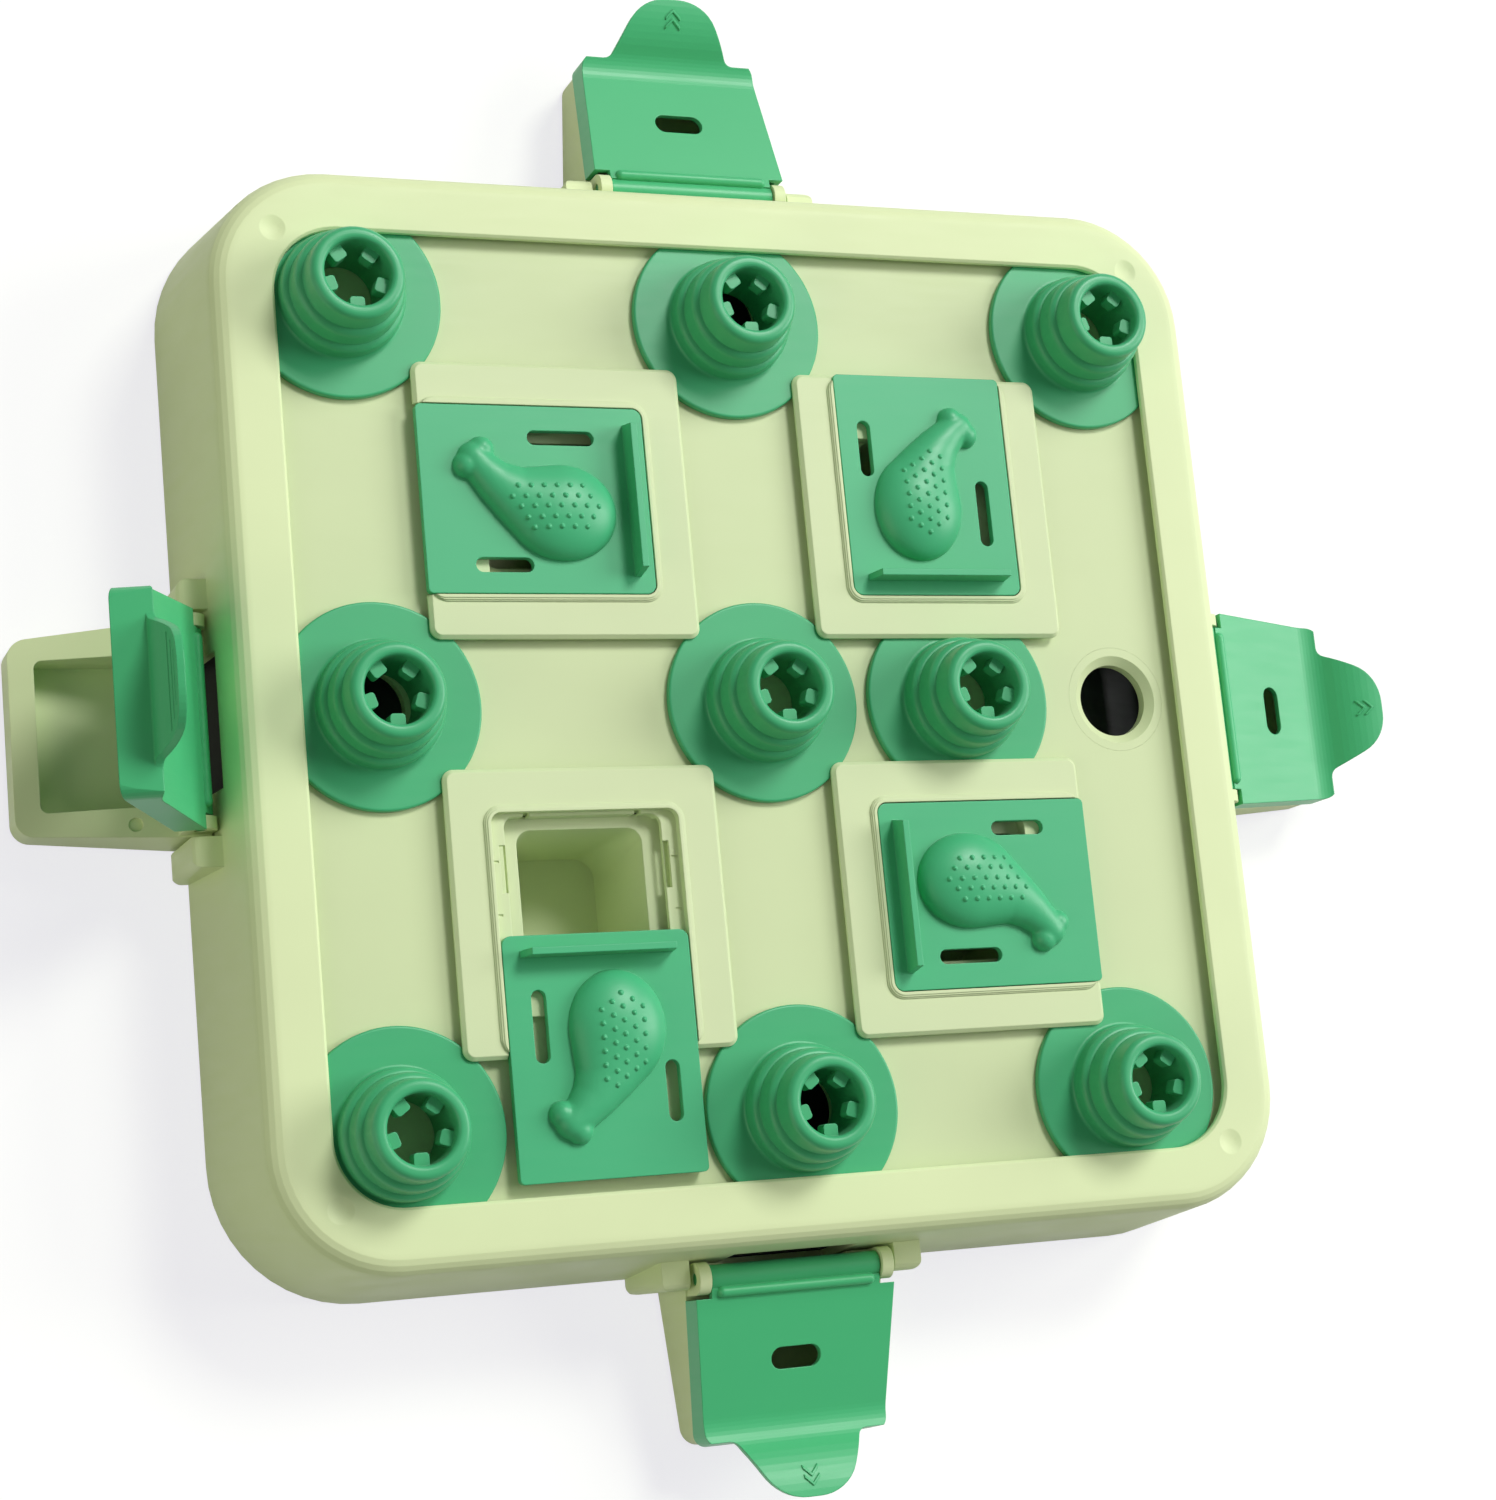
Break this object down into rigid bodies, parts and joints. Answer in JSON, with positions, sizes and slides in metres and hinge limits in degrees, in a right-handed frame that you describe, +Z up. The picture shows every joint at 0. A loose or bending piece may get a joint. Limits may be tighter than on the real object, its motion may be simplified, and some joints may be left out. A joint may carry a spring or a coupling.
{
  "type": "dog puzzle feeder toy",
  "caption": "Square treat puzzle for dogs: a rimmed board with sliding ring knobs, sliding drumstick plates over bowls, and a flip-lid tray on each side.",
  "frame": {"origin": "middle of the board's flat underside", "axes": "+Z up out of the deck; +Y to the side whose tray is called north; +X to the side whose tray is called east"},
  "size_m": [0.4064, 0.4216, 0.0843],
  "materials": {
    "rim_green": "smooth satin pale green",
    "deck_green": "smooth satin pale green",
    "frame_green": "smooth satin pale green",
    "knob_green": "semi-gloss mid green",
    "lid_green": "semi-gloss mid green",
    "inner_grey": "matte charcoal",
    "pad_grey": "matte",
    "screw_steel": "zinc plated"
  },
  "bodies": {
    "board": {"rim_shell": "rim_green", "deck_plate": "deck_green", "drop_collar_n": "deck_green", "drop_collar_e": "deck_green", "drop_collar_s": "deck_green", "drop_collar_w": "deck_green", "bottom_pan": "inner_grey", "chute_n": "inner_grey", "chute_e": "inner_grey", "chute_s": "inner_grey", "chute_w": "inner_grey", "pocket_frame_nw": "frame_green", "pocket_frame_ne": "frame_green", "pocket_frame_se": "frame_green", "pocket_frame_sw": "frame_green", "tray_n": "rim_green", "tray_e": "rim_green", "tray_s": "rim_green", "tray_w": "rim_green", "foot_pad_nw": "pad_grey", "foot_pad_ne": "pad_grey", "foot_pad_se": "pad_grey", "foot_pad_sw": "pad_grey", "pan_screws": "screw_steel"},
    "plate_ne": {"slider_ne": "knob_green"},
    "plate_se": {"slider_se": "knob_green"},
    "plate_sw": {"slider_sw": "knob_green"},
    "plate_nw": {"slider_nw": "knob_green"},
    "knob_nw": {"knob_nw": "knob_green"},
    "knob_n": {"knob_n": "knob_green"},
    "knob_ne": {"knob_ne": "knob_green"},
    "knob_w": {"knob_w": "knob_green"},
    "knob_centre": {"knob_centre": "knob_green"},
    "knob_e": {"knob_e": "knob_green"},
    "knob_sw": {"knob_sw": "knob_green"},
    "knob_s": {"knob_s": "knob_green"},
    "knob_se": {"knob_se": "knob_green"},
    "lid_n": {"lid_n": "lid_green"},
    "lid_e": {"lid_e": "lid_green"},
    "lid_s": {"lid_s": "lid_green"},
    "lid_w": {"lid_w": "lid_green"}
  },
  "joints": [
    {"name": "plate_slide_ne", "type": "slide", "parent": "board", "child": "plate_ne", "axis": [0, 1, 0], "range_m": [0, 0.0345]},
    {"name": "plate_slide_se", "type": "slide", "parent": "board", "child": "plate_se", "axis": [1, 0, 0], "range_m": [0, 0.0345]},
    {"name": "plate_slide_sw", "type": "slide", "parent": "board", "child": "plate_sw", "axis": [0, -1, 0], "range_m": [-0.032, 0.0025]},
    {"name": "plate_slide_nw", "type": "slide", "parent": "board", "child": "plate_nw", "axis": [-1, 0, 0], "range_m": [0, 0.0345]},
    {"name": "knob_slide_nw", "type": "slide", "parent": "board", "child": "knob_nw", "axis": [1, 0, 0], "range_m": [0, 0.0545]},
    {"name": "knob_slide_n", "type": "slide", "parent": "board", "child": "knob_n", "axis": [0, -1, 0], "range_m": [-0.0024, 0.0521]},
    {"name": "knob_slide_ne", "type": "slide", "parent": "board", "child": "knob_ne", "axis": [0, -1, 0], "range_m": [-0.0024, 0.0521]},
    {"name": "knob_slide_w", "type": "slide", "parent": "board", "child": "knob_w", "axis": [1, 0, 0], "range_m": [-0.0024, 0.0521]},
    {"name": "knob_spin_centre", "type": "hinge", "parent": "board", "child": "knob_centre", "pos_m": [0, 0, 0.0432], "axis": [0, 0, 1], "continuous": true},
    {"name": "knob_slide_e", "type": "slide", "parent": "board", "child": "knob_e", "axis": [-1, 0, 0], "range_m": [-0.051, 0.0035]},
    {"name": "knob_slide_sw", "type": "slide", "parent": "board", "child": "knob_sw", "axis": [0, 1, 0], "range_m": [0, 0.0545]},
    {"name": "knob_slide_s", "type": "slide", "parent": "board", "child": "knob_s", "axis": [0, 1, 0], "range_m": [0, 0.0545]},
    {"name": "knob_slide_se", "type": "slide", "parent": "board", "child": "knob_se", "axis": [-1, 0, 0], "range_m": [-0.012, 0.0425]},
    {"name": "lid_hinge_n", "type": "hinge", "parent": "board", "child": "lid_n", "pos_m": [0, 0.1518, 0.027], "axis": [1, 0, 0], "range_deg": [0, 100]},
    {"name": "lid_hinge_e", "type": "hinge", "parent": "board", "child": "lid_e", "pos_m": [0.1518, 0, 0.027], "axis": [0, -1, 0], "range_deg": [0, 100]},
    {"name": "lid_hinge_s", "type": "hinge", "parent": "board", "child": "lid_s", "pos_m": [0, -0.1518, 0.027], "axis": [-1, 0, 0], "range_deg": [0, 100]},
    {"name": "lid_hinge_w", "type": "hinge", "parent": "board", "child": "lid_w", "pos_m": [-0.1518, 0, 0.027], "axis": [0, 1, 0], "range_deg": [-75, 25]}
  ]
}
